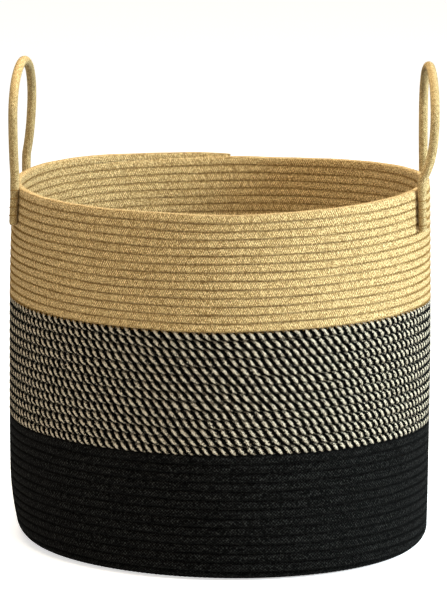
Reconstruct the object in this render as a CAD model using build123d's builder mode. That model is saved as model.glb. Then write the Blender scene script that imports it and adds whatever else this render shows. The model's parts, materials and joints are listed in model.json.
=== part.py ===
"""Coiled rope basket with two rope handles.

Rope is wound in a flat spiral for the floor, turns up over a rounded foot and climbs as a helix for the wall.
Black, two-tone and tan ropes follow one another along the same winding. A pair of threads, one on each face,
sews every row to the row before it. Two rope loops, sewn to the outside of the wall, are the handles.

Millimetres, +Z up. The origin is on the basket's axis, on the ground. The handles stand on the X axis.
"""

import os
from dataclasses import dataclass
from math import atan2, ceil, cos, floor, hypot, pi, radians, sin, sqrt

from build123d import *

# Ropes and threads
wall_rope_diameter = 7.65  # black and two-tone rope
tan_rope_diameter = 7.05
handle_rope_diameter = 8.8
row_gap = 0.65  # between neighbouring rows of the winding
splice_gap = 0.1  # between the butted ends of two ropes
thread_diameter = 1.0
thread_clearance = 0.3  # between a thread and the ropes that it holds
thread_sides = 4  # a seam thread's section is a square, drawn inside its round one

# Winding
body_radius = 196.1  # axis to rope centre at the widest row
floor_eye_radius = 7.0  # tightest turn at the middle of the floor
foot_radius = 12.0  # rounding from floor to wall, at the rope centre
foot_flat = 0.5  # depth by which the underside is pressed flat
foot_inset = 2.5  # how much narrower the wall is above the foot
rim_inset = 3.5  # how much narrower the wall is at the rim
widest_height = 190.0
black_turns = 14.5
mixed_turns = 14
tan_turns = 14

# Handles
handle_half_angle = 19.0  # from the X axis to each leg, in degrees
handle_tail = 38.0  # sewn length below the rim
handle_rise = 117.0  # from the rim to the top of the loop
handle_lean = 4.0  # outward lean of the loop, in degrees
handle_corner_radius = 42.0
handle_crown_lift = 5.0  # how far the crown swells above the rounding of the corners
handle_clearance = 0.3  # between a handle end and the wall, and between a folded loop and the end
fold_clearance = 0.4  # between a folded loop and the rim
stitch_arc = 260.0  # how far a stitch goes round a handle end, in degrees
stitch_margin = 2.0  # from a handle end's cut to its nearest stitch
stitches_per_end = 4

# Worked out from the sizes above
rope_height = wall_rope_diameter / 2 - foot_flat
floor_radius = body_radius - foot_inset - foot_radius
foot_length = foot_radius * pi / 2
wall_foot_height = rope_height + foot_radius

os.makedirs("parts", exist_ok=True)


@dataclass
class Rope:
    """One rope of the winding, from its first to its last turn, counted from the foot of the wall."""

    name: str
    diameter: float
    first: float
    last: float
    start: float  # profile length at the first turn

    def length(self, turns):
        """Profile length at a number of turns."""
        return self.start + (turns - self.first) * (self.diameter + row_gap)


wall_pitch = wall_rope_diameter + row_gap
tan_pitch = tan_rope_diameter + row_gap
floor_turns = floor(2 * (floor_radius - floor_eye_radius) / wall_pitch) / 2
mixed_end = black_turns + mixed_turns
rim_turn = mixed_end + tan_turns

floor_rope = Rope("base", wall_rope_diameter, -floor_turns, 0, -floor_turns * wall_pitch)
black_rope = Rope("black", wall_rope_diameter, 0, black_turns, 0)
mixed_rope = Rope("mixed", wall_rope_diameter, black_turns, mixed_end, black_turns * wall_pitch)
tan_rope = Rope("tan", tan_rope_diameter, mixed_end, rim_turn, mixed_end * wall_pitch)

last_row_height = wall_foot_height + tan_rope.length(rim_turn) - foot_length
rim_height = last_row_height + tan_rope_diameter / 2


def wall_centre_radius(height):
    """Radius from the basket's axis to the rope centre at a height on the wall."""
    if height < widest_height:
        share = (widest_height - height) / (widest_height - wall_foot_height)
        return body_radius - foot_inset * share**2
    share = (height - widest_height) / (last_row_height - widest_height)
    return body_radius - rim_inset * share**2


def profile(length):
    """Radius and height of the rope centre at a profile length, which is 0 where the floor meets the foot."""
    if length <= 0:
        return floor_radius + length, rope_height
    if length < foot_length:
        turned = length / foot_radius
        return floor_radius + foot_radius * sin(turned), rope_height + foot_radius * (1 - cos(turned))
    height = wall_foot_height + length - foot_length
    return wall_centre_radius(height), height


def turned_point(turns, radius, height):
    """Point at a radius and height after a number of turns. The winding starts up the wall at the front."""
    azimuth = -pi / 2 - 2 * pi * turns
    return Vector(radius * cos(azimuth), radius * sin(azimuth), height)


def rope_point(rope, turns):
    """Centre of a rope after a number of turns."""
    radius, height = profile(rope.length(turns))
    return turned_point(turns, radius, height)


def seam_point(rope, rope_below, turns, face):
    """Centre of the thread in the valley under a row, on the outer (1) or the inner (-1) face."""
    lower_rope = rope if turns - 1 >= rope.first else rope_below
    radius, height = profile(rope.length(turns))
    lower_radius, lower_height = profile(lower_rope.length(turns - 1))
    run = radius - lower_radius
    rise = height - lower_height
    spacing = hypot(run, rise)
    reach = (max(rope.diameter, rope_below.diameter) + thread_diameter) / 2 + thread_clearance
    outward = face * sqrt(reach**2 - (spacing / 2) ** 2)
    middle_radius = (radius + lower_radius) / 2
    middle_height = (height + lower_height) / 2
    return turned_point(turns, middle_radius + outward * rise / spacing, middle_height - outward * run / spacing)


def biarc(start, start_direction, end, end_direction):
    """Two tangent arcs from one point and direction to another."""
    chord = end - start
    spread = 2 * (1 - start_direction.dot(end_direction))
    along = chord.dot(start_direction + end_direction)
    reach = (sqrt(along**2 + spread * chord.dot(chord)) - along) / spread
    start_corner = start + start_direction * reach
    end_corner = end - end_direction * reach
    middle = (start_corner + end_corner) / 2
    return [
        Edge.make_tangent_arc(start, start_direction, middle),
        Edge.make_tangent_arc(middle, (end_corner - start_corner).normalized(), end),
    ]


def winding(place, first, last):
    """Path through place(turns) from the first to the last turn, on biarcs of about a quarter turn."""
    count = ceil(4 * (last - first))
    nudge = 0.0001
    edges = []
    for index in range(count):
        start = first + (last - first) * index / count
        end = first + (last - first) * (index + 1) / count
        start_direction = (place(start + nudge) - place(start - nudge)).normalized()
        end_direction = (place(end + nudge) - place(end - nudge)).normalized()
        edges += biarc(place(start), start_direction, place(end), end_direction)
    return Wire(edges)


def least_gap(place, first, last, diameter):
    """Least gap between neighbouring turns of a tube through place(turns), measured on points."""
    per_turn = 60
    count = ceil(per_turn * (last - first))
    points = [place(first + (last - first) * index / count) for index in range(count + 1)]
    least = body_radius
    for index, point in enumerate(points):
        for other in points[index + per_turn // 2 : index + 2 * per_turn]:
            least = min(least, (other - point).length)
    return least - diameter


# Rope winding and its seam threads, from the floor to the rim
ropes = [floor_rope, black_rope, mixed_rope, tan_rope]
for rope, rope_below in zip(ropes, [floor_rope] + ropes):
    coil_name = "base_coil" if rope is floor_rope else f"{rope.name}_wall_coil"
    coil_last = rope.last - splice_gap / (2 * pi * body_radius)
    coil_path = winding(lambda turns: rope_point(rope, turns), rope.first, coil_last)
    with BuildPart() as coil:
        with BuildSketch(Plane(origin=coil_path @ 0, z_dir=coil_path % 0)):
            Circle(rope.diameter / 2)
        sweep(path=coil_path)
        if rope in (floor_rope, black_rope):
            split(bisect_by=Plane.XY, keep=Keep.TOP)
    coil.part.label = coil_name
    export_step(coil.part, f"parts/{coil_name}.step")
    gap = least_gap(lambda turns: rope_point(rope, turns), rope.first, rope.last, rope.diameter)
    print(f"{coil_name}: least gap between turns {gap:.2f} mm, rope {coil_path.length / 1000:.2f} m")

    seam_first = rope.first + 1 if rope is floor_rope else rope.first
    with BuildPart() as seam:
        for face in (1, -1):
            seam_path = winding(lambda turns: seam_point(rope, rope_below, turns, face), seam_first, rope.last)
            with BuildSketch(Plane(origin=seam_path @ 0, x_dir=(0, 0, 1), z_dir=seam_path % 0)):
                RegularPolygon(thread_diameter / 2, thread_sides)
            sweep(path=seam_path)
    seam.part.label = f"{rope.name}_seam_thread"
    export_step(seam.part, f"parts/{rope.name}_seam_thread.step")

# Handles
handle_radius = handle_rope_diameter / 2
hinge_height = rim_height + fold_clearance + handle_rope_diameter + handle_clearance
lean_direction = Vector(sin(radians(handle_lean)), 0, cos(radians(handle_lean)))


def handle_end_point(angle, height):
    """Centre of a handle end at an angle from the X axis and a height on the wall."""
    radius = wall_centre_radius(height) + tan_rope_diameter / 2 + handle_clearance + handle_radius
    return Vector(radius * cos(radians(angle)), radius * sin(radians(angle)), height)


def row_height(azimuth, rows_down):
    """Height of a row's centre at an azimuth, counted down from the rim row."""
    rim_azimuth = -90 - 360 * rim_turn
    turns_back = ((azimuth - rim_azimuth) % 360) / 360
    return last_row_height - tan_pitch * (turns_back + rows_down)


for side, turned in (("right", 0), ("left", 180)):
    loop_starts = []
    for angle in (-handle_half_angle, handle_half_angle):
        place = "front" if sin(radians(turned + angle)) < 0 else "back"
        name = f"{side}_handle_{place}"
        end_bottom = handle_end_point(angle, rim_height - handle_tail).rotate(Axis.Z, turned)
        end_top = handle_end_point(angle, rim_height).rotate(Axis.Z, turned)
        end_direction = (end_top - end_bottom).normalized()
        loop_direction = lean_direction.rotate(Axis.Z, turned)
        bend_reach = (hinge_height - rim_height) / (end_direction.Z + loop_direction.Z)
        loop_start = end_top + end_direction * bend_reach + loop_direction * bend_reach
        loop_starts.append(loop_start)

        with BuildPart() as end:
            with BuildLine() as end_line:
                Line(end_bottom, end_top)
            with BuildSketch(Plane(origin=end_bottom, z_dir=end_direction)):
                Circle(handle_radius)
            sweep(path=end_line.wire())
        end.part.label = f"{name}_end"
        export_step(end.part, f"parts/{name}_end.step")

        with BuildPart() as bend:
            with BuildLine() as bend_line:
                TangentArc(end_top, loop_start, tangent=end_direction)
            with BuildSketch(Plane(origin=end_top, z_dir=end_direction)):
                Circle(handle_radius)
            sweep(path=bend_line.wire())
        bend.part.label = f"{name}_bend"
        export_step(bend.part, f"parts/{name}_bend.step")

        sewn_height = row_height(turned + angle, 0) - end_bottom.Z - stitch_margin
        lowest_row = floor(sewn_height / tan_pitch)
        with BuildPart() as stitches:
            for stitch in range(stitches_per_end):
                height = row_height(turned + angle, lowest_row - stitch)
                centre = end_bottom + end_direction * ((height - end_bottom.Z) / end_direction.Z)
                outward = Vector(1, 0, 0).rotate(Axis.Z, turned + angle)
                with BuildLine(Plane(origin=centre, x_dir=outward, z_dir=end_direction)) as stitch_line:
                    stitch_radius = handle_radius + thread_clearance + thread_diameter / 2
                    CenterArc((0, 0), stitch_radius, -stitch_arc / 2, stitch_arc)
                with BuildSketch(Plane(origin=stitch_line.wire() @ 0, z_dir=stitch_line.wire() % 0)):
                    Circle(thread_diameter / 2)
                sweep(path=stitch_line.wire())
        stitches.part.label = f"{name}_stitches"
        export_step(stitches.part, f"parts/{name}_stitches.step")

    half_span = (loop_starts[1] - loop_starts[0]).length / 2
    middle = (loop_starts[0] + loop_starts[1]) / 2
    across = (loop_starts[1] - loop_starts[0]).normalized()
    loop_rise = (rim_height + handle_rise - handle_radius - middle.Z) / loop_direction.Z
    leg_rise = loop_rise - handle_corner_radius - handle_crown_lift
    corner_offset = half_span - handle_corner_radius
    crown_drop = (corner_offset**2 - handle_crown_lift**2) / (2 * handle_crown_lift)
    corner_turn = atan2(crown_drop, corner_offset)
    crown_end = corner_offset + handle_corner_radius * cos(corner_turn)
    crown_end_rise = leg_rise + handle_corner_radius * sin(corner_turn)

    with BuildPart() as loop:
        with BuildLine() as loop_line:
            leg_end = loop_starts[0] + loop_direction * leg_rise
            corner_end = middle - across * crown_end + loop_direction * crown_end_rise
            far_corner_end = middle + across * crown_end + loop_direction * crown_end_rise
            far_leg_end = loop_starts[1] + loop_direction * leg_rise
            Line(loop_starts[0], leg_end)
            corner = TangentArc(leg_end, corner_end, tangent=loop_direction)
            crown = TangentArc(corner_end, far_corner_end, tangent=corner % 1)
            TangentArc(far_corner_end, far_leg_end, tangent=crown % 1)
            Line(far_leg_end, loop_starts[1])
        with BuildSketch(Plane(origin=loop_starts[0], z_dir=loop_direction)):
            Circle(handle_radius)
        sweep(path=loop_line.wire())
    loop.part.label = f"{side}_handle_loop"
    export_step(loop.part, f"parts/{side}_handle_loop.step")
    hinge = middle + Vector(1, 0, 0).rotate(Axis.Z, turned) * (handle_radius + handle_clearance)
    print(f"{side} handle: hinge at {hinge.X:.2f}, {hinge.Y:.2f}, {hinge.Z:.2f} along Y, span {2 * half_span:.1f}")
print(f"rim height {rim_height:.2f}")
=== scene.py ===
"""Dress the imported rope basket: sewn rope rows, stitching, braided handles, floor, light and camera."""

import json
import logging
import math
from dataclasses import dataclass
from enum import Enum

import bpy
import numpy as np
from mathutils import Matrix, Vector


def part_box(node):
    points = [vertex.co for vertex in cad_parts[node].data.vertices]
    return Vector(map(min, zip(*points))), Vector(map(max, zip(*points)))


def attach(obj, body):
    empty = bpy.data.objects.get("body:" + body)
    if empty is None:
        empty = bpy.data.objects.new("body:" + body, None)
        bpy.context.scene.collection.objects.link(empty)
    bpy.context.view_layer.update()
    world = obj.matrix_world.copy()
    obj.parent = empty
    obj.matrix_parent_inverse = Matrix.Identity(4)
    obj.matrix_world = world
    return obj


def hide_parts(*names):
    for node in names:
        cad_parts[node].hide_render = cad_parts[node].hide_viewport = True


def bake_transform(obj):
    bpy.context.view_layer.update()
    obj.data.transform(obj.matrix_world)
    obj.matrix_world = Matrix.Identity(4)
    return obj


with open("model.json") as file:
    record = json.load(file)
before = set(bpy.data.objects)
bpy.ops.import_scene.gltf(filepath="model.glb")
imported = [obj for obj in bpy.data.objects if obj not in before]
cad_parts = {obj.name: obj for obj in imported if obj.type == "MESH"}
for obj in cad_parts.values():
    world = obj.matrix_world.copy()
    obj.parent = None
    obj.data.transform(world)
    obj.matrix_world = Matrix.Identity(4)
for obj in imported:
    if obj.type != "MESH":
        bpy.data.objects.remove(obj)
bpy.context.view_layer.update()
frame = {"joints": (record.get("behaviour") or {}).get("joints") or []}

LOG = logging.getLogger("rope_basket")

MM = 0.001
TURN = 2 * math.pi
ROPE_MAP = "rope"
COTTON_ROUGHNESS = 0.9
FUZZ_ROUGHNESS = 0.6

Colour = tuple[float, float, float, float]
Waves = tuple[tuple[float, float, float], ...]  # height, metres per radian and phase of each wave

STRAY_WAVES: Waves = ((1.0, 17.3 * MM, 0.0), (0.6, 7.1 * MM, 2.0), (0.5, 47.0 * MM, 0.0))
SLACK_WAVES: Waves = ((1.0, 113.0 * MM, 0.0), (0.2, 21.0 * MM, 1.0))


class Face(Enum):
    """Which face of the wall a seam thread lies on."""

    OUTER = 1
    INNER = -1


class Side(Enum):
    """Handle side, by the sign of its place on the X axis."""

    LEFT = -1
    RIGHT = 1


class Lay(Enum):
    """How a rope's yarns run."""

    BRAIDED = "braided"
    TWISTED = "twisted"


# Materials


class NodeSheet:
    """Small helper that adds shader nodes to one material or world and links them."""

    def __init__(self, owner: bpy.types.Material | bpy.types.World) -> None:
        """Start with no nodes.

        Args:
            owner: Material or world that the nodes belong to.
        """
        owner.use_nodes = True
        self.owner = owner
        self.tree = owner.node_tree
        self.tree.nodes.clear()

    def node(self, kind: str, **inputs: object) -> bpy.types.Node:
        """Add a node and fill its inputs.

        Args:
            kind: Blender's node type.
            **inputs: Values or output sockets by input name, with _ for a space.

        Returns:
            The new node.
        """
        made = self.tree.nodes.new(kind)
        for name, value in inputs.items():
            self.put(made.inputs[name.replace("_", " ")], value)
        return made

    def put(self, socket: bpy.types.NodeSocket, value: object) -> None:
        """Link an output to a socket, or set the socket's own value."""
        if isinstance(value, bpy.types.NodeSocket):
            self.tree.links.new(value, socket)
        else:
            socket.default_value = value

    def math(self, operation: str, first: object, second: object = 0.0) -> bpy.types.NodeSocket:
        """Add a Math node.

        Args:
            operation: Blender's name of the operation.
            first: First value or socket.
            second: Second value or socket.

        Returns:
            The result socket.
        """
        made = self.tree.nodes.new("ShaderNodeMath")
        made.operation = operation
        self.put(made.inputs[0], first)
        self.put(made.inputs[1], second)
        return made.outputs[0]

    def weigh(self, first: object, share: float, second: object, other: float) -> bpy.types.NodeSocket:
        """Add two values, the first times share and the second times other."""
        scaled = self.math("MULTIPLY", first, share)
        return self.math("ADD", scaled, self.math("MULTIPLY", second, other))

    def mix(self, factor: object, first: object, second: object) -> bpy.types.NodeSocket:
        """Mix two colours.

        Args:
            factor: Share of the second colour.
            first: First colour or socket.
            second: Second colour or socket.

        Returns:
            The mixed colour socket.
        """
        made = self.tree.nodes.new("ShaderNodeMix")
        made.data_type = "RGBA"
        self.put(made.inputs[0], factor)
        self.put(made.inputs[6], first)
        self.put(made.inputs[7], second)
        return made.outputs[2]

    def noise(self, vector: bpy.types.NodeSocket, scale: float, detail: float = 2.0) -> bpy.types.NodeSocket:
        """Add a noise texture.

        Args:
            vector: Where the noise is read.
            scale: Features per metre.
            detail: Number of finer layers.

        Returns:
            The noise value, around a half.
        """
        made = self.node("ShaderNodeTexNoise", Vector=vector, Scale=scale, Detail=detail)
        return made.outputs["Fac"]

    def spread(self, value: bpy.types.NodeSocket, low: float, high: float) -> bpy.types.NodeSocket:
        """Stretch the range from low to high over 0 to 1, clamped."""
        made = self.node("ShaderNodeMapRange", Value=value)
        made.inputs["From Min"].default_value = low
        made.inputs["From Max"].default_value = high
        return made.outputs["Result"]

    def rope_axes(self) -> tuple[bpy.types.NodeSocket, bpy.types.NodeSocket]:
        """Read a rope's own UV map.

        Returns:
            The length along the rope in metres, and the share of the way round it.
        """
        rope_map = self.node("ShaderNodeUVMap")
        rope_map.uv_map = ROPE_MAP
        split = self.node("ShaderNodeSeparateXYZ", Vector=rope_map.outputs["UV"])
        return split.outputs["X"], split.outputs["Y"]

    def seen_directly(self) -> bpy.types.NodeSocket:
        """1 where the camera sees a surface, also in a mirror or through glass."""
        rays = self.node("ShaderNodeLightPath").outputs
        mirrored = self.math("MAXIMUM", rays["Is Glossy Ray"], rays["Is Transmission Ray"])
        return self.math("MAXIMUM", rays["Is Camera Ray"], mirrored)

    def place(self) -> bpy.types.NodeSocket:
        """Object coordinates."""
        return self.node("ShaderNodeTexCoord").outputs["Object"]

    def cloth(self, colour: object, height: object, depth: float, gloss: float, sheen: float) -> None:
        """Finish the material as matt cotton.

        Args:
            colour: Colour or socket.
            height: Relief socket, from 0 to 1.
            depth: Depth of the relief in metres.
            gloss: Strength of the mirror-like part.
            sheen: Strength of the fuzz at grazing light.
        """
        bump = self.node("ShaderNodeBump", Height=height, Strength=1.0, Distance=depth)
        shader = self.node("ShaderNodeBsdfPrincipled", Normal=bump.outputs["Normal"])
        self.put(shader.inputs["Base Color"], colour)
        shader.inputs["Roughness"].default_value = COTTON_ROUGHNESS
        shader.inputs["Specular IOR Level"].default_value = gloss
        shader.inputs["Sheen Weight"].default_value = sheen
        shader.inputs["Sheen Roughness"].default_value = FUZZ_ROUGHNESS
        self.node("ShaderNodeOutputMaterial", Surface=shader.outputs["BSDF"])


@dataclass(frozen=True)
class BraidFinish:
    """Braided cotton rope: yarn crossings in a diamond net, with painted shade in the gaps between them and a
    painted highlight on the raised crossings.
    """

    name: str
    yarn: Colour
    fibre_and_highlight: Colour  # paler colour of single fibres, with a painted highlight on the raised yarn crossings
    # painted shade in the gaps between the yarn crossings
    gap_shade: Colour
    cells_round: int
    cell_length: float
    relief: float
    gap_share: float  # how far the painted shade of the gaps reaches over the yarn
    grain: float  # specks per metre
    fibre_and_highlight_from: float  # height above which the pale fibres and the painted highlight start
    fibre_and_highlight_to: float
    gloss: float
    sheen: float
    wander_scale: float = 160.0  # bends of the yarns per metre
    wander: float = 0.9  # cells by which the yarns bend
    net_power: float = 0.6  # less for flatter crossings
    net_height: float = 0.55
    grain_height: float = 0.6
    grain_range: tuple[float, float] = (0.28, 0.72)
    gap_from: float = 0.2
    fibre_scale: float = 2600.0
    fibre_height: float = 0.3
    fibre_light: float = 0.5  # how much single fibres add to the paler look and the painted highlight

    def material(self) -> bpy.types.Material:
        """Build the material.

        Returns:
            The finished material.
        """
        sheet = NodeSheet(bpy.data.materials.new(self.name))
        along, around = sheet.rope_axes()
        where = sheet.place()
        wander = sheet.math("MULTIPLY", sheet.noise(where, self.wander_scale), self.wander)
        turn = sheet.math("ADD", sheet.math("MULTIPLY", around, float(self.cells_round)), wander)
        step = sheet.math("MULTIPLY", along, 1 / self.cell_length)
        one_way = sheet.math("SINE", sheet.math("MULTIPLY", sheet.math("ADD", turn, step), math.pi))
        other_way = sheet.math("SINE", sheet.math("MULTIPLY", sheet.math("SUBTRACT", turn, step), math.pi))
        crossing = sheet.math("ABSOLUTE", sheet.math("MULTIPLY", one_way, other_way))
        net = sheet.math("POWER", crossing, self.net_power)
        grain = sheet.spread(sheet.noise(where, self.grain), *self.grain_range)
        fibre = sheet.noise(where, self.fibre_scale, 3.0)
        raised = sheet.weigh(net, self.net_height, grain, self.grain_height)
        # Low parts of the net get the painted shade of the gaps; raised crossings and single fibres get pale
        # fibres and a painted highlight.
        shown = sheet.spread(raised, self.gap_from, self.gap_share)
        height = sheet.math("ADD", raised, sheet.math("MULTIPLY", fibre, self.fibre_height))
        lit = sheet.math("ADD", raised, sheet.math("MULTIPLY", fibre, self.fibre_light))
        fibre_and_highlight_share = sheet.spread(lit, self.fibre_and_highlight_from, self.fibre_and_highlight_to)
        yarn = sheet.mix(fibre_and_highlight_share, self.yarn, self.fibre_and_highlight)
        sheet.cloth(sheet.mix(shown, self.gap_shade, yarn), height, self.relief, self.gloss, self.sheen)
        return sheet.owner


@dataclass(frozen=True)
class TwistFinish:
    """Twisted cotton rope of dark and pale strands that take turns; the pale strands get a painted highlight
    on their plies and painted shade between them.
    """

    name: str
    dark: Colour
    pale: Colour
    pale_shade: Colour
    strands: int
    lay: float  # rope length in which a strand goes once round
    hand: int
    fuzz: float  # raggedness of the strands' edges
    ragged_scale: float = 900.0
    fibre_scale: float = 2200.0
    pale_range: tuple[float, float] = (0.30, 0.52)
    plies: int = 3  # ridges on each strand
    ply_light: float = 0.45
    fibre_light: float = 0.9
    light_range: tuple[float, float] = (0.35, 0.85)
    ply_height: float = 0.6
    fibre_height: float = 0.7
    relief: float = 0.5 * MM
    gloss: float = 0.01

    def material(self) -> bpy.types.Material:
        """Build the material.

        Returns:
            The finished material.
        """
        sheet = NodeSheet(bpy.data.materials.new(self.name))
        _, around = sheet.rope_axes()
        where = sheet.place()
        fibre = sheet.noise(where, self.fibre_scale, 3.0)
        uneven = sheet.math("SUBTRACT", sheet.noise(where, self.ragged_scale), 0.5)
        ragged = sheet.math("MULTIPLY", uneven, self.fuzz)
        strand = sheet.math("MULTIPLY", around, self.strands / 2)
        wave = sheet.math("SINE", sheet.math("MULTIPLY", strand, TURN))
        pale_share = sheet.spread(sheet.math("ADD", wave, ragged), *self.pale_range)
        # Ply ridges get a painted highlight and the grooves between the plies get painted shade (pale_shade);
        # single fibres add pale flecks.
        plies = sheet.math("ABSOLUTE", sheet.math("SINE", sheet.math("MULTIPLY", strand, TURN * self.plies)))
        fibre_and_highlight = sheet.weigh(plies, self.ply_light, fibre, self.fibre_light)
        pale = sheet.mix(sheet.spread(fibre_and_highlight, *self.light_range), self.pale_shade, self.pale)
        height = sheet.weigh(plies, self.ply_height, fibre, self.fibre_height)
        sheet.cloth(sheet.mix(pale_share, self.dark, pale), height, self.relief, self.gloss, 0.0)
        return sheet.owner


@dataclass(frozen=True)
class ThreadFinish:
    """Plied sewing thread."""

    name: str
    colour: Colour
    shade: Colour
    ply_scale: float = 1800.0
    light_range: tuple[float, float] = (0.35, 0.65)
    relief: float = 0.1 * MM
    gloss: float = 0.05

    def material(self) -> bpy.types.Material:
        """Build the material.

        Returns:
            The finished material.
        """
        sheet = NodeSheet(bpy.data.materials.new(self.name))
        ply = sheet.noise(sheet.place(), self.ply_scale)
        colour = sheet.mix(sheet.spread(ply, *self.light_range), self.shade, self.colour)
        sheet.cloth(colour, ply, self.relief, self.gloss, 0.0)
        return sheet.owner


@dataclass(frozen=True)
class FloorFinish:
    """Plain pale studio floor that keeps the object's shadow."""

    name: str
    colour: Colour
    glow: float  # added to what the camera sees, so that the floor reads as white

    def material(self) -> bpy.types.Material:
        """Build the material.

        Returns:
            The finished material.
        """
        sheet = NodeSheet(bpy.data.materials.new(self.name))
        matt = sheet.node("ShaderNodeBsdfDiffuse", Color=self.colour)
        glow = sheet.node("ShaderNodeEmission", Color=(1, 1, 1, 1), Strength=self.glow)
        seen = sheet.node("ShaderNodeAddShader")
        sheet.put(seen.inputs[0], matt.outputs["BSDF"])
        sheet.put(seen.inputs[1], glow.outputs["Emission"])
        mix = sheet.node("ShaderNodeMixShader", Fac=sheet.seen_directly())
        sheet.put(mix.inputs[1], matt.outputs["BSDF"])
        sheet.put(mix.inputs[2], seen.outputs["Shader"])
        sheet.node("ShaderNodeOutputMaterial", Surface=mix.outputs["Shader"])
        return sheet.owner


# In each braid below, the paler colour is pale fibres with a painted highlight, and the darkest colour is
# painted shade in the gaps.
TAN_BRAID = BraidFinish(
    "tan_braid", yarn=(0.55, 0.34, 0.108, 1), fibre_and_highlight=(1.0, 0.785, 0.41, 1), gap_shade=(0.10, 0.05, 0.012, 1),
    cells_round=15, cell_length=2.15 * MM, relief=0.8 * MM, gap_share=0.82, grain=640.0,
    fibre_and_highlight_from=0.74, fibre_and_highlight_to=1.30, gloss=0.10, sheen=0.05,
)
# The handle rope's colours are set darker than the tan wall rope's, as painted shade on the handles.
SHADED_HANDLE_BRAID = BraidFinish(
    "handle_braid", yarn=(0.43, 0.30, 0.115, 1), fibre_and_highlight=(0.77, 0.60, 0.32, 1), gap_shade=(0.16, 0.10, 0.032, 1),
    cells_round=16, cell_length=2.2 * MM, relief=0.5 * MM, gap_share=0.85, grain=760.0,
    fibre_and_highlight_from=0.75, fibre_and_highlight_to=1.35, gloss=0.10, sheen=0.05,
)
BLACK_BRAID = BraidFinish(
    "black_braid", yarn=(0.0012, 0.0012, 0.0011, 1), fibre_and_highlight=(0.056, 0.056, 0.051, 1),
    gap_shade=(0.0002, 0.0002, 0.0002, 1),
    cells_round=11, cell_length=3.0 * MM, relief=1.2 * MM, gap_share=0.95, grain=480.0,
    fibre_and_highlight_from=0.82, fibre_and_highlight_to=1.55, gloss=0.01, sheen=0.004,
)
TWO_TONE_TWIST = TwistFinish(
    "two_tone_twist", dark=(0.0008, 0.0007, 0.0005, 1), pale=(0.70, 0.61, 0.46, 1),
    pale_shade=(0.19, 0.15, 0.095, 1), strands=4, lay=16.6 * MM, hand=1, fuzz=5.0,
)
TAN_THREAD = ThreadFinish("tan_thread", (0.36, 0.215, 0.07, 1), (0.14, 0.075, 0.02, 1))
BLACK_THREAD = ThreadFinish("black_thread", (0.006, 0.006, 0.005, 1), (0.002, 0.002, 0.002, 1))
PALE_FLOOR = FloorFinish("pale_floor", (0.90, 0.90, 0.90, 1), 0.62)

Finish = BraidFinish | TwistFinish | ThreadFinish | FloorFinish


class Wardrobe:
    """Materials, each made once."""

    def __init__(self) -> None:
        """Start with no material."""
        self.made: dict[str, bpy.types.Material] = {}

    def get(self, finish: Finish) -> bpy.types.Material:
        """Return the material of a finish, making it the first time."""
        if finish.name not in self.made:
            self.made[finish.name] = finish.material()
        return self.made[finish.name]


WARDROBE = Wardrobe()


# Tubes


def swept_ring(name: str, sides: int, steps: int) -> bpy.types.Object:
    """Model a closed tube by winding a ring of points up with a Screw modifier.

    The size of the winding doesn't matter, because shape_tube moves every point to its place.

    Args:
        name: Name of the piece.
        sides: Points round the ring.
        steps: Rings after the first one.

    Returns:
        The tube, with its rings in order along it and both ends capped.
    """
    bpy.ops.object.select_all(action="DESELECT")
    upright = (math.pi / 2, 0, 0)
    bpy.ops.mesh.primitive_circle_add(vertices=sides, radius=0.25, location=(1, 0, 0), rotation=upright)
    tube = bpy.context.object
    tube.name = name
    tube.data.name = name
    bpy.ops.object.transform_apply(location=True, rotation=True, scale=True)
    screw = tube.modifiers.new("winding", "SCREW")
    screw.axis = "Z"
    screw.angle = math.pi
    screw.screw_offset = 1.0
    screw.steps = steps
    screw.render_steps = steps
    screw.use_merge_vertices = False
    screw.use_smooth_shade = True
    bpy.ops.object.modifier_apply(modifier=screw.name)
    bpy.ops.object.mode_set(mode="EDIT")
    bpy.ops.mesh.select_all(action="SELECT")
    bpy.ops.mesh.fill_holes(sides=0)
    bpy.ops.object.mode_set(mode="OBJECT")
    if len(tube.data.vertices) != sides * (steps + 1):
        raise RuntimeError(f"{name}: {len(tube.data.vertices)} points, not {sides} times {steps + 1}")
    return tube


def shape_tube(tube: bpy.types.Object, rings: np.ndarray, along: np.ndarray) -> None:
    """Move a tube's rings to their places, give it its rope UV map and turn its faces outwards.

    Args:
        tube: Tube from swept_ring.
        rings: Places of the points, by ring, point and axis.
        along: Length along the rope at each ring, in metres.
    """
    mesh = tube.data
    sides = rings.shape[1]
    mesh.vertices.foreach_set("co", rings.reshape(-1).astype(np.float32))
    corners = np.empty(len(mesh.loops), np.int32)
    mesh.loops.foreach_get("vertex_index", corners)
    ring, point = np.divmod(corners, sides)
    around = point / sides
    starts = np.empty(len(mesh.polygons), np.int32)
    totals = np.empty(len(mesh.polygons), np.int32)
    mesh.polygons.foreach_get("loop_start", starts)
    mesh.polygons.foreach_get("loop_total", totals)
    owner = np.repeat(np.arange(len(starts)), totals)
    highest = np.maximum.reduceat(point, starts)[owner]
    lowest = np.minimum.reduceat(point, starts)[owner]
    around[(highest - lowest == sides - 1) & (point == 0) & (totals[owner] == 4)] = 1.0
    while mesh.uv_layers:
        mesh.uv_layers.remove(mesh.uv_layers[0])
    layer = mesh.uv_layers.new(name=ROPE_MAP)
    layer.data.foreach_set("uv", np.stack([along[ring], around], axis=1).reshape(-1).astype(np.float32))
    mesh.update()
    bpy.ops.object.select_all(action="DESELECT")
    tube.select_set(True)
    bpy.context.view_layer.objects.active = tube
    bpy.ops.object.mode_set(mode="EDIT")
    bpy.ops.mesh.select_all(action="SELECT")
    bpy.ops.mesh.normals_make_consistent(inside=False)
    bpy.ops.object.mode_set(mode="OBJECT")
    bpy.ops.object.shade_smooth()


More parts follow.
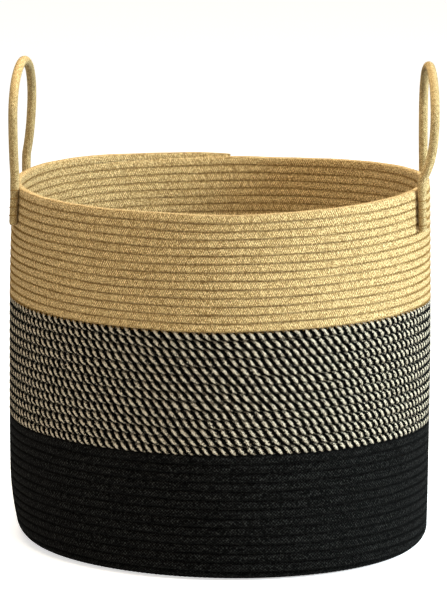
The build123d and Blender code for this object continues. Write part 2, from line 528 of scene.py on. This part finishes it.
def superellipse(angle: np.ndarray, power: float) -> tuple[np.ndarray, np.ndarray]:
    """Section of a rope that is pressed against its neighbours.

    Args:
        angle: Angles round the section.
        power: 2 for a circle, more for a squarer section.

    Returns:
        The section's two coordinates, from -1 to 1.
    """
    cosine, sine = np.cos(angle), np.sin(angle)
    return np.sign(cosine) * np.abs(cosine) ** (2 / power), np.sign(sine) * np.abs(sine) ** (2 / power)


def ripple(run: np.ndarray, waves: Waves) -> np.ndarray:
    """Add up waves along a rope.

    Args:
        run: Lengths along the rope in metres.
        waves: The waves.

    Returns:
        Their sum at each length.
    """
    return sum(height * np.sin(run / reach + phase) for height, reach, phase in waves)


def tube_frames(path: np.ndarray, first_normal: Vector) -> tuple[np.ndarray, np.ndarray]:
    """Carry a normal along a path without twist.

    Args:
        path: Points of the path.
        first_normal: Normal at the first point.

    Returns:
        Normals and binormals at the points.
    """
    tangent = np.gradient(path, axis=0)
    tangent /= np.linalg.norm(tangent, axis=1)[:, None]
    normals = np.empty_like(path)
    normal = np.array(first_normal, float)
    for index, direction in enumerate(tangent):
        normal = normal - direction * (normal @ direction)
        normal /= np.linalg.norm(normal)
        normals[index] = normal
    return normals, np.cross(tangent, normals)


def finish_piece(
    piece: bpy.types.Object, finish: Finish, nodes: tuple[str, ...], body: str | None
) -> None:
    """Dress a piece, name the CAD nodes that it stands for and put it on its body.

    Args:
        piece: The modelled piece.
        finish: Finish that the piece gets.
        nodes: CAD nodes that the piece replaces.
        body: Body that carries the piece, or None to leave it on no body.
    """
    piece.data.materials.clear()
    piece.data.materials.append(WARDROBE.get(finish))
    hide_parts(*nodes)
    if body:
        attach(piece, body)
    LOG.info("%s: %d faces, stands for %s", piece.name, len(piece.data.polygons), ", ".join(nodes))


# Winding


@dataclass
class Winding:
    """Profile that the rope rows follow, from the middle of the floor over the foot to the rim."""

    body_radius: float = 196.1 * MM
    foot_radius: float = 12.0 * MM
    foot_inset: float = 2.5 * MM
    rim_inset: float = 3.5 * MM
    widest_height: float = 190.0 * MM
    rope_height: float = 3.325 * MM
    rim_wave: float = 2.0 * MM  # how far the rim rises at the handles and sinks between them
    rim_tilt: float = 3.5 * MM  # how far the rim rises on the right and sinks on the left
    foot_slump: float = 9.0 * MM  # how far the foot is pressed in on the left
    slump_height: float = 70.0 * MM
    slump_bearing: float = math.radians(200)
    foot_bulge: float = 9.0 * MM  # how far the foot swells at the front right
    bulge_height: float = 120.0 * MM
    bulge_bearing: float = math.radians(-58)
    sway: float = 0.5 * MM  # unevenness of hand-guided sewing

    def __post_init__(self) -> None:
        """Work out the lengths that follow from the sizes."""
        self.floor_radius = self.body_radius - self.foot_inset - self.foot_radius
        self.foot_length = self.foot_radius * math.pi / 2
        self.wall_foot = self.rope_height + self.foot_radius
        self.rim_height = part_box("tan_wall_coil")[1][2]

    def profile(self, length: np.ndarray) -> tuple[np.ndarray, np.ndarray]:
        """Radius and height of the rope centre.

        Args:
            length: Profile lengths, 0 where the floor meets the foot.

        Returns:
            Radii and heights.
        """
        turned = np.clip(length, 0, self.foot_length) / self.foot_radius
        radius = self.floor_radius + np.minimum(length, 0) + self.foot_radius * np.sin(turned)
        risen = np.maximum(length - self.foot_length, 0)
        height = self.rope_height + self.foot_radius * (1 - np.cos(turned)) + risen
        below = np.clip((self.widest_height - height) / (self.widest_height - self.wall_foot), 0, 1)
        above = np.clip((height - self.widest_height) / (self.rim_height - self.widest_height), 0, None)
        bulge = self.foot_inset * (1 - below**2) - self.rim_inset * above**2
        return radius + np.where(length > self.foot_length, bulge, 0), height

    def section_axes(self, length: np.ndarray) -> tuple[np.ndarray, np.ndarray]:
        """Directions along and out of the profile.

        Args:
            length: Profile lengths.

        Returns:
            Radius and height parts of the direction along the profile, as one array of pairs.
            The same for the direction outwards.
        """
        nudge = 0.05 * MM
        radius_ahead, height_ahead = self.profile(length + nudge)
        radius_behind, height_behind = self.profile(length - nudge)
        on = np.stack([radius_ahead - radius_behind, height_ahead - height_behind], axis=-1)
        on /= np.linalg.norm(on, axis=-1, keepdims=True)
        return on, np.stack([on[..., 1], -on[..., 0]], axis=-1)

    def place(self, turns: np.ndarray, radius: np.ndarray, height: np.ndarray) -> np.ndarray:
        """Points in space, with the soft wave of the rim, the uneven wall and the settled foot.

        Args:
            turns: Turns from the front, clockwise seen from above.
            radius: Radii.
            height: Heights.

        Returns:
            Points by row.
        """
        azimuth = -math.pi / 2 - TURN * turns
        share = np.clip(height / self.rim_height, 0, 1.05)
        lift = share**2 * (self.rim_wave * np.cos(2 * azimuth) + self.rim_tilt * np.cos(azimuth))
        uneven = np.sin(3 * azimuth + 14 * share) + 0.7 * np.sin(7 * azimuth - 23 * share)
        bulge = np.sin(2 * azimuth + 5 * share + 1.2) + 0.6 * np.sin(5 * azimuth - 11 * share)
        pressed = np.clip(1 - height / self.slump_height, 0, 1) ** 2
        pressed = pressed * np.clip(np.cos(azimuth - self.slump_bearing), 0, 1) ** 2
        swollen = np.clip(1 - height / self.bulge_height, 0, 1)
        swollen = swollen * np.clip(np.cos(azimuth - self.bulge_bearing), 0, 1) ** 3
        foot = (self.foot_bulge * swollen - self.foot_slump * pressed) * (radius / self.body_radius) ** 3
        across = radius + self.sway * share * bulge + foot
        up = height + lift + self.sway * np.sqrt(share) * uneven * np.clip(share * 6, 0, 1)
        return np.stack([across * np.cos(azimuth), across * np.sin(azimuth), up], axis=-1)


@dataclass
class RopeRows:
    """Turns of one rope, sewn row upon row."""

    name: str
    node: str
    slot: str
    winding: Winding
    finish: BraidFinish | TwistFinish
    lay: Lay
    first: float  # turn that the rope starts at, counted from the foot of the wall
    last: float
    start: float  # profile length at the first turn
    pitch: float
    thickness: float
    squareness: float  # power of the superellipse that is the rope's section
    sides: int
    rings_per_turn: int
    pieces: int = 1
    press: float = 1.08  # height of a row, as a share of the pitch
    groove: float = 0.26  # depth of the grooves between twisted strands, as a share of the radius
    end_taper: float = 0.0  # turns over which the rope's last end thins out
    tuck_turns: float = 0.0  # turns wound on into the eye of the floor
    tuck_bearing: float = math.radians(45)  # how far the folded end lies round from the start
    tuck_reach: float = 1.1  # half the folded end's length, as a share of the pitch
    tuck_shift: float = 0.15  # how far it lies off the middle, as a share of the pitch
    tuck_width: float = 0.58  # half its width, as a share of the pitch
    tuck_height: float = 0.42  # half its height, as a share of the thickness
    tuck_squareness: float = 2.6
    slack_lay: float = 0.40  # turns by which the twist runs ahead and behind
    thin_end: float = 0.35  # thickness of a tapered end, as a share of the rope's
    taper_curve: float = 0.7  # less for a taper that starts later

    def length(self, turns: np.ndarray) -> np.ndarray:
        """Profile length after a number of turns."""
        return self.start + (turns - self.first) * self.pitch

    def tuck(self) -> bpy.types.Object:
        """Model the starting end of the rope, folded flat across the eye of the floor.

        Returns:
            The dressed piece.
        """
        share = np.linspace(-1, 1, 25)
        slim = np.sqrt(1.02 - share**4)  # even along the middle and rounded at both ends
        across, up = superellipse(np.arange(self.sides) / self.sides * TURN, self.tuck_squareness)
        across = across * self.tuck_width * self.pitch * slim[:, None]
        up = self.winding.rope_height + up * self.tuck_height * self.thickness * slim[:, None]
        run = np.broadcast_to(share[:, None], across.shape)
        along = (self.tuck_shift + self.tuck_reach * run) * self.pitch
        bearing = -math.pi / 2 - TURN * (self.first - self.tuck_turns) + self.tuck_bearing
        cosine, sine = math.cos(bearing), math.sin(bearing)
        rings = np.stack([along * cosine - across * sine, along * sine + across * cosine, up], axis=-1)
        stub = swept_ring(f"{self.name}_tuck", self.sides, len(share) - 1)
        shape_tube(stub, rings, along[:, 0])
        finish_piece(stub, self.finish, (self.node,), "basket")
        return stub

    def rope_length(self, turns: np.ndarray) -> np.ndarray:
        """Rope used since the first turn, in metres."""
        samples = np.linspace(self.first - self.tuck_turns, self.last, 400)
        radius, _ = self.winding.profile(self.length(samples))
        used = np.concatenate([[0], np.cumsum(TURN * (radius[1:] + radius[:-1]) / 2 * np.diff(samples))])
        return np.interp(turns, samples, used)

    def build(self) -> list[bpy.types.Object]:
        """Model the rope.

        Returns:
            The rope's pieces, one after another along it.
        """
        edges = np.linspace(self.first - self.tuck_turns, self.last, self.pieces + 1)
        made = []
        for number, (begin, end) in enumerate(zip(edges[:-1], edges[1:])):
            name = self.name if self.pieces == 1 else f"{self.name}_{number + 1}"
            made.append(self.stretch(name, begin, end))
        return made

    def stretch(self, name: str, begin: float, end: float) -> bpy.types.Object:
        """Model one stretch of the rope.

        Args:
            name: Name of the piece.
            begin: First turn.
            end: Last turn.

        Returns:
            The dressed piece.
        """
        steps = max(8, round((end - begin) * self.rings_per_turn))
        turns = np.linspace(begin, end, steps + 1)
        used = self.rope_length(turns)
        angle = np.arange(self.sides) / self.sides * TURN
        lobe = np.ones(self.sides)
        if self.lay is Lay.TWISTED:
            lobe = 1 - self.groove * (1 - np.abs(np.sin(angle * self.finish.strands / 2)))
            twist = used / self.finish.lay + self.slack_lay * ripple(used, SLACK_WAVES)
            angle = angle[None, :] + TURN * self.finish.hand * twist[:, None]
        out, on = superellipse(np.broadcast_to(angle, (steps + 1, self.sides)), self.squareness)
        out = out * lobe * self.thickness / 2
        on = on * lobe * self.press * self.pitch / 2
        left = np.clip((self.last - turns) / self.end_taper, 0, 1) if self.end_taper else np.ones(steps + 1)
        slim = self.thin_end + (1 - self.thin_end) * left**self.taper_curve
        length = self.length(turns)
        radius, height = self.winding.profile(length)
        axis_on, axis_out = self.winding.section_axes(length)
        # Two rows that stray apart take up at most what they overlap, so no slit opens between them.
        stray = (self.press - 1) * self.pitch / (2 * sum(wave[0] for wave in STRAY_WAVES))
        astray = stray * ripple(used, STRAY_WAVES)
        on = on * slim[:, None] - (1 - slim[:, None]) * self.pitch / 2 + astray[:, None]
        out = out * slim[:, None]
        ring_radius = radius[:, None] + on * axis_on[:, None, 0] + out * axis_out[:, None, 0]
        ring_height = height[:, None] + on * axis_on[:, None, 1] + out * axis_out[:, None, 1]
        ring_height = np.maximum(ring_height, 0)
        tube = swept_ring(name, self.sides, steps)
        shape_tube(tube, self.winding.place(turns[:, None], ring_radius, ring_height), used)
        finish_piece(tube, self.finish, (self.node,), "basket")
        return tube


@dataclass
class SeamStitching:
    """Zigzag sewing that joins each row of a rope to the row below, on both faces of the wall."""

    name: str
    node: str
    slot: str
    winding: Winding
    finish: ThreadFinish
    rope: RopeRows
    first: float
    stitch_length: float = 2.4 * MM
    stitch_reach: float = 1.7 * MM  # how far a stitch runs to each side of the seam
    thread_radius: float = 0.42 * MM
    thread_sink: float = 0.2  # how deep the thread lies in the rope, as a share of its radius
    ground_gap: float = 0.1 * MM
    sides: int = 3

    def build(self) -> list[bpy.types.Object]:
        """Model the thread on the outer and the inner face.

        Returns:
            The two dressed pieces.
        """
        return [self.thread(face) for face in Face]

    def thread(self, face: Face) -> bpy.types.Object:
        """Model the thread on one face.

        Args:
            face: Face of the wall.

        Returns:
            The dressed piece.
        """
        rope = self.rope
        run = rope.rope_length(np.array([rope.last]))[0] - rope.rope_length(np.array([self.first]))[0]
        steps = int(run / self.stitch_length)
        turns = np.linspace(self.first, rope.last - rope.end_taper, steps + 1)
        used = rope.rope_length(turns)
        length = rope.length(turns) - rope.pitch / 2
        swing = np.where(np.arange(steps + 1) % 2 == 0, 1.0, -1.0) * self.stitch_reach
        radius, height = self.winding.profile(length)
        axis_on, axis_out = self.winding.section_axes(length)
        share = 1 - self.stitch_reach / (rope.pitch / 2)
        surface = rope.thickness / 2 * (1 - share**rope.squareness) ** (1 / rope.squareness)
        out = face.value * (surface - self.thread_sink * self.thread_radius)
        angle = np.arange(self.sides) / self.sides * TURN
        ring_out = out + self.thread_radius * np.cos(angle)[None, :]
        ring_on = swing[:, None] + self.thread_radius * np.sin(angle)[None, :]
        ring_radius = radius[:, None] + ring_on * axis_on[:, None, 0] + ring_out * axis_out[:, None, 0]
        ring_height = height[:, None] + ring_on * axis_on[:, None, 1] + ring_out * axis_out[:, None, 1]
        ring_height = np.maximum(ring_height, self.ground_gap)
        tube = swept_ring(f"{self.name}_{face.name.lower()}", self.sides, steps)
        shape_tube(tube, self.winding.place(turns[:, None], ring_radius, ring_height), used)
        finish_piece(tube, self.finish, (self.node,), "basket")
        return tube


# Handles


@dataclass
class RopeHandle:
    """One braided rope, sewn to the outside of the wall at both ends, with a loop that rises over the rim,
    where the real handle folds at its hinge.
    """

    side: Side
    front_lean: float  # how far the front leg leans out at the top of the loop
    back_lean: float
    lean_curve: float  # higher for legs that lean early above the rim
    slack: float = 5.0 * MM  # how far the soft loop sinks
    radius: float = 4.4 * MM
    corner_radius: float = 42.0 * MM
    crown_rise: float = 47.0 * MM
    sides: int = 64
    step: float = 0.5 * MM
    relief: float = 0.4 * MM
    hinge_gap: float = 0.3 * MM  # between the legs and the hinge line outside them
    tail_gap: float = 0.3 * MM  # by which a tail ends above its solid
    leg_start: float = 6.0 * MM  # above the hinge, where a leg is straight again
    end_length: float = 3.0 * MM  # over which a cut end narrows
    end_slim: float = 0.80
    tail_squash: float = 0.12  # how much flatter the sewn tails are
    tail_spread: float = 0.4  # how much of that they gain in width
    squash_length: float = 12.0 * MM  # below the rim, over which a tail flattens
    stitch_radius: float = 0.45 * MM
    stitch_sides: int = 6
    stitch_slant: float = 0.8 * MM
    stitch_gap: float = 0.1 * MM
    stitch_wrap: float = math.radians(125)  # how far a stitch goes round its tail, to each side
    stitch_points: int = 25
    stitch_depth: float = 0.9  # depth and width of a stitch's bow, as shares of its radius
    stitch_width: float = 1.04
    stitch_length: float = 20.0 * MM
    stitches: int = 4

    def __post_init__(self) -> None:
        """Read the handle's places from the frame."""
        self.body = f"{self.side.name.lower()}_handle"
        self.ends = {place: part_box(f"{self.body}_{place}_end") for place in ("front", "back")}
        self.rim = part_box(f"{self.body}_front_bend")[0][2]
        self.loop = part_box(f"{self.body}_loop")
        for joint in frame["joints"]:
            if joint["child"] == self.body:
                self.hinge = Vector(joint["pos_m"])

    def guide(self) -> np.ndarray:
        """Points that the rope's middle follows, from the front tail over the loop to the back tail.

        Returns:
            Points by row.
        """
        low, high = self.loop
        half_span = (high[1] - low[1]) / 2 - self.radius
        base_x = abs(self.hinge.x) - self.radius - self.hinge_gap
        top = high[2] - self.radius - self.slack
        legs = top - self.crown_rise
        corner_offset = half_span - self.corner_radius
        corner_drop = self.crown_rise - self.corner_radius
        crown_drop = (corner_offset**2 - corner_drop**2) / (2 * corner_drop)
        crown_radius = self.crown_rise + crown_drop
        corner_turn = math.atan2(crown_drop, corner_offset)
        tail_box = self.ends["front"]
        tail_low = tail_box[0][2] + self.tail_gap
        tail_x = max(abs(tail_box[0][0]), abs(tail_box[1][0])) - self.radius
        tail_y = max(abs(tail_box[0][1]), abs(tail_box[1][1])) - self.radius
        half = [(tail_x, tail_y, tail_low), (base_x, half_span, self.rim), (base_x, half_span, self.hinge.z)]
        straight = np.linspace(self.hinge.z + self.leg_start, legs, 8)
        half += [(base_x, half_span, height) for height in straight]
        for turn in np.linspace(0, corner_turn, 12)[1:]:
            half.append((base_x, corner_offset + self.corner_radius * math.cos(turn),
                         legs + self.corner_radius * math.sin(turn)))
        for turn in np.linspace(corner_turn, math.pi / 2, 8)[1:]:
            half.append((base_x, crown_radius * math.cos(turn),
                         legs - crown_drop + crown_radius * math.sin(turn)))
        ordered = np.array([(x, -y, z) for x, y, z in half] + [tuple(point) for point in reversed(half[:-1])])
        up = np.clip((ordered[:, 2] - self.hinge.z) / (top - self.hinge.z), 0, 1)
        risen = 1 - (1 - up) ** self.lean_curve
        to_back = np.clip(ordered[:, 1] / half_span / 2 + 0.5, 0, 1)
        ordered[:, 0] += risen * (self.front_lean + (self.back_lean - self.front_lean) * to_back)
        ordered[:, 0] *= self.side.value
        return ordered

    def path(self) -> np.ndarray:
        """Evenly spaced points on the rope's smooth middle line.

        Returns:
            Points by row.
        """
        guide = self.guide()
        for _ in range(3):
            quarter = guide[:-1] * 0.75 + guide[1:] * 0.25
            three = guide[:-1] * 0.25 + guide[1:] * 0.75
            inner = np.stack([quarter, three], axis=1).reshape(-1, 3)
            guide = np.concatenate([guide[:1], inner, guide[-1:]])
        run = np.concatenate([[0], np.cumsum(np.linalg.norm(np.diff(guide, axis=0), axis=1))])
        even = np.linspace(0, run[-1], int(run[-1] / self.step) + 1)
        return np.stack([np.interp(even, run, guide[:, axis]) for axis in range(3)], axis=1)

    def build(self) -> bpy.types.Object:
        """Model the rope with its braid in relief.

        Returns:
            The dressed rope.
        """
        path = self.path()
        used = np.arange(len(path)) * self.step
        normals, binormals = tube_frames(path, Vector((self.side.value, 0, 0)))
        share = np.arange(self.sides) / self.sides
        cell = share[None, :] * SHADED_HANDLE_BRAID.cells_round
        step = used[:, None] / SHADED_HANDLE_BRAID.cell_length
        crossing = np.abs(np.sin(math.pi * (cell + step)) * np.sin(math.pi * (cell - step)))
        crossing = crossing**SHADED_HANDLE_BRAID.net_power
        radius = self.radius - self.relief + self.relief * crossing
        to_end = np.minimum(used, used[-1] - used)
        full = np.sqrt(np.clip(to_end / self.end_length, 0, 1))
        radius = radius * (self.end_slim + (1 - self.end_slim) * full)[:, None]
        sewn = np.clip((self.rim - path[:, 2]) / self.squash_length, 0, 1)[:, None]
        out = radius * np.cos(TURN * share)[None, :] * (1 - self.tail_squash * sewn)
        across = radius * np.sin(TURN * share)[None, :] * (1 + self.tail_squash * self.tail_spread * sewn)
        rings = path[:, None] + out[..., None] * normals[:, None] + across[..., None] * binormals[:, None]
        rope = swept_ring(f"{self.body}_rope", self.sides, len(path) - 1)
        shape_tube(rope, rings, used)
        nodes = [f"{self.body}_loop"]
        nodes += [f"{self.body}_{place}_{piece}" for place in ("front", "back") for piece in ("end", "bend")]
        finish_piece(rope, SHADED_HANDLE_BRAID, tuple(nodes), None)
        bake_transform(rope)
        return rope

    def sew(self) -> list[bpy.types.Object]:
        """Model the stitches over the two sewn tails.

        Returns:
            One piece for each tail.
        """
        made = []
        for place in ("front", "back"):
            low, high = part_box(f"{self.body}_{place}_stitches")
            inset = 0.5 * MM
            heights = np.linspace(low[2] + inset, high[2] - inset, self.stitches)
            bars = [self.stitch(place, height) for height in heights]
            bpy.ops.object.select_all(action="DESELECT")
            for bar in bars:
                bar.select_set(True)
            bpy.context.view_layer.objects.active = bars[0]
            bpy.ops.object.join()
            bars[0].name = f"{self.body}_{place}_tacks"
            finish_piece(bars[0], TAN_THREAD, (f"{self.body}_{place}_stitches",), "basket")
            made.append(bars[0])
        return made

    def stitch(self, place: str, height: float) -> bpy.types.Object:
        """Model one stitch over a tail.

        Args:
            place: Which tail, front or back.
            height: Height of the stitch.

        Returns:
            The stitch.
        """
        low, high = self.ends[place]
        sign_y = -1 if place == "front" else 1
        share = np.clip((height - low[2]) / (high[2] - low[2]), 0, 1)
        span_x, span_y = high[0] - low[0] - 2 * self.radius, high[1] - low[1] - 2 * self.radius
        far_x = max(abs(low[0]), abs(high[0])) - self.radius
        far_y = max(abs(low[1]), abs(high[1])) - self.radius
        centre_x = self.side.value * (far_x - span_x * share)
        centre = np.array([centre_x, sign_y * (far_y - span_y * share), height])
        outward = np.array([centre[0], centre[1], 0]) / math.hypot(centre[0], centre[1])
        across = np.array([-outward[1], outward[0], 0])
        turn = np.linspace(-self.stitch_wrap, self.stitch_wrap, self.stitch_points)
        bow = self.stitch_depth * np.cos(turn)[:, None] * outward
        bow = bow + self.stitch_width * np.sin(turn)[:, None] * across
        path = centre + (self.radius + self.stitch_gap) * bow
        path[:, 2] += self.stitch_slant * np.sin(turn)
        normals, binormals = tube_frames(path, Vector((0, 0, 1)))
        angle = np.arange(self.stitch_sides) / self.stitch_sides * TURN
        cosine, sine = np.cos(angle)[None, :, None], np.sin(angle)[None, :, None]
        rings = path[:, None] + self.stitch_radius * (cosine * normals[:, None] + sine * binormals[:, None])
        bar = swept_ring("tack", self.stitch_sides, len(path) - 1)
        shape_tube(bar, rings, np.linspace(0, self.stitch_length, len(path)))
        return bar


# Studio


@dataclass(frozen=True)
class Lamp:
    """Soft panel lamp that faces the basket."""

    name: str
    place: tuple[float, float, float]  # metres
    size: float  # width of the panel in metres
    power: float  # watts
    colour: tuple[float, float, float]

    def hang(self, target: Vector) -> None:
        """Hang the lamp so that it faces a point."""
        light = bpy.data.lights.new(self.name, "AREA")
        light.size = self.size
        light.energy = self.power
        light.color = self.colour
        lamp = bpy.data.objects.new(self.name, light)
        turn = (target - Vector(self.place)).to_track_quat("-Z", "Y").to_matrix().to_4x4()
        lamp.matrix_world = Matrix.Translation(self.place) @ turn
        bpy.context.scene.collection.objects.link(lamp)


LAMPS = (
    Lamp("key_lamp", (2.45, -0.48, 1.3), 1.1, 132.0, (0.84, 1.0, 1.10)),
    Lamp("fill_lamp", (-1.8, -2.6, 0.9), 2.0, 4.5, (1.0, 0.90, 0.78)),
    Lamp("top_lamp", (-0.3, -0.6, 2.3), 1.0, 28.0, (1.0, 0.90, 0.76)),
    Lamp("inside_lamp", (-0.06, -0.06, 0.95), 0.2, 3.6, (1.0, 0.86, 0.68)),
)


@dataclass
class Studio:
    """Pale floor, soft light and the camera at the photograph's angle."""

    picture_height: int = 612  # pixels, which the focal length is counted in
    focal_pixels: float = 5308.0
    distance: float = 4.953
    camera_height: float = 1.103
    turned: float = 2.6  # degrees round the basket, towards its right handle
    sideways: float = 0.0031
    pitch: float = 10.10  # degrees below level
    roll: float = 0.46  # degrees
    sensor: float = 36.0
    floor_size: float = 60.0
    floor_drop: float = 0.2 * MM
    world_colour: Colour = (1.0, 0.90, 0.76, 1)
    world_strength: float = 0.38
    lamp_target: tuple[float, float, float] = (0, 0, 0.2)

    def floor(self) -> None:
        """Lay the floor."""
        bpy.ops.object.select_all(action="DESELECT")
        bpy.ops.mesh.primitive_plane_add(size=self.floor_size, location=(0, 0, -self.floor_drop))
        floor = bpy.context.object
        floor.name = "studio_floor"
        floor.data.materials.append(WARDROBE.get(PALE_FLOOR))

    def light(self) -> None:
        """Set the world and the lamps."""
        world = bpy.data.worlds.new("studio_world")
        bpy.context.scene.world = world
        sheet = NodeSheet(world)
        soft = sheet.node("ShaderNodeBackground", Color=self.world_colour, Strength=self.world_strength)
        white = sheet.node("ShaderNodeBackground", Color=(1, 1, 1, 1), Strength=1.0)
        mix = sheet.node("ShaderNodeMixShader", Fac=sheet.seen_directly())
        sheet.put(mix.inputs[1], soft.outputs["Background"])
        sheet.put(mix.inputs[2], white.outputs["Background"])
        sheet.node("ShaderNodeOutputWorld", Surface=mix.outputs["Shader"])
        for lamp in LAMPS:
            lamp.hang(Vector(self.lamp_target))

    def camera(self) -> None:
        """Place the camera."""
        bearing = math.radians(self.turned)
        aside = Vector((math.cos(bearing), math.sin(bearing), 0))
        back = Vector((math.sin(bearing), -math.cos(bearing), 0))
        place = back * self.distance + aside * self.sideways + Vector((0, 0, self.camera_height))
        data = bpy.data.cameras.new("photo_camera")
        data.sensor_fit = "VERTICAL"
        data.sensor_height = self.sensor
        data.lens = self.sensor * self.focal_pixels / self.picture_height
        data.clip_end = 100
        camera = bpy.data.objects.new("photo_camera", data)
        turn = Matrix.Rotation(bearing, 4, "Z") @ Matrix.Rotation(math.radians(90 - self.pitch), 4, "X")
        rolled = turn @ Matrix.Rotation(math.radians(self.roll), 4, "Z")
        camera.matrix_world = Matrix.Translation(place) @ rolled
        bpy.context.scene.collection.objects.link(camera)
        bpy.context.scene.camera = camera

    def set_up(self) -> None:
        """Set up the whole studio."""
        self.camera()
        self.floor()
        self.light()
        bpy.context.scene.view_settings.view_transform = "Standard"


# Basket


@dataclass
class Basket:
    """The whole basket: four ropes, their sewing and two handles."""

    wall_pitch: float = 8.3 * MM
    tan_pitch: float = 7.7 * MM
    floor_turns: float = 21.0
    black_turns: float = 14.5
    mixed_turns: float = 14.0
    tan_turns: float = 14.0

    def ropes(self, winding: Winding) -> list[RopeRows]:
        """List the ropes of the winding.

        Args:
            winding: Profile that they follow.

        Returns:
            The ropes, from the floor to the rim.
        """
        mixed_first = self.black_turns
        tan_first = mixed_first + self.mixed_turns
        pitch = self.wall_pitch
        return [
            RopeRows(
                "base_rope", "base_coil", "black_rope", winding, BLACK_BRAID, Lay.BRAIDED,
                first=-self.floor_turns, last=0.0, start=-self.floor_turns * pitch, pitch=pitch,
                thickness=7.6 * MM, squareness=3.0, sides=12, rings_per_turn=150, press=1.1, tuck_turns=0.5,
            ),
            RopeRows(
                "black_rope", "black_wall_coil", "black_rope", winding, BLACK_BRAID, Lay.BRAIDED,
                first=0.0, last=mixed_first, start=0.0, pitch=pitch,
                thickness=7.6 * MM, squareness=2.6, sides=18, rings_per_turn=260, press=1.1,
            ),
            RopeRows(
                "two_tone_rope", "mixed_wall_coil", "two_tone_rope", winding, TWO_TONE_TWIST, Lay.TWISTED,
                first=mixed_first, last=tan_first, start=mixed_first * pitch, pitch=pitch,
                thickness=7.9 * MM, squareness=2.2, sides=16, rings_per_turn=960, pieces=4,
            ),
            RopeRows(
                "tan_rope", "tan_wall_coil", "tan_rope", winding, TAN_BRAID, Lay.BRAIDED,
                first=tan_first, last=tan_first + self.tan_turns, start=tan_first * pitch,
                pitch=self.tan_pitch,
                thickness=7.2 * MM, squareness=6.0, sides=20, rings_per_turn=240, end_taper=0.12,
            ),
        ]

    def build(self) -> None:
        """Model and dress every piece."""
        winding = Winding()
        threads = {"base": BLACK_THREAD, "black": BLACK_THREAD, "mixed": BLACK_THREAD, "tan": TAN_THREAD}
        for (label, thread), rope in zip(threads.items(), self.ropes(winding)):
            rope.build()
            if rope.tuck_turns:
                rope.tuck()
            first = rope.first + 1 if label == "base" else rope.first
            slot = "tan_thread" if label == "tan" else "black_thread"
            SeamStitching(f"{label}_seam", f"{label}_seam_thread", slot, winding, thread, rope, first).build()
        handles = (
            RopeHandle(Side.LEFT, front_lean=2.0 * MM, back_lean=-5.5 * MM, lean_curve=3.5),
            RopeHandle(Side.RIGHT, front_lean=11.5 * MM, back_lean=-0.7 * MM, lean_curve=5.0),
        )
        for handle in handles:
            handle.build()
            handle.sew()


def main() -> None:
    """Build the studio and the basket."""
    logging.basicConfig(level=logging.INFO, format="%(name)s: %(message)s")
    Studio().set_up()
    Basket().build()


if __name__ == "__main__":
    main()
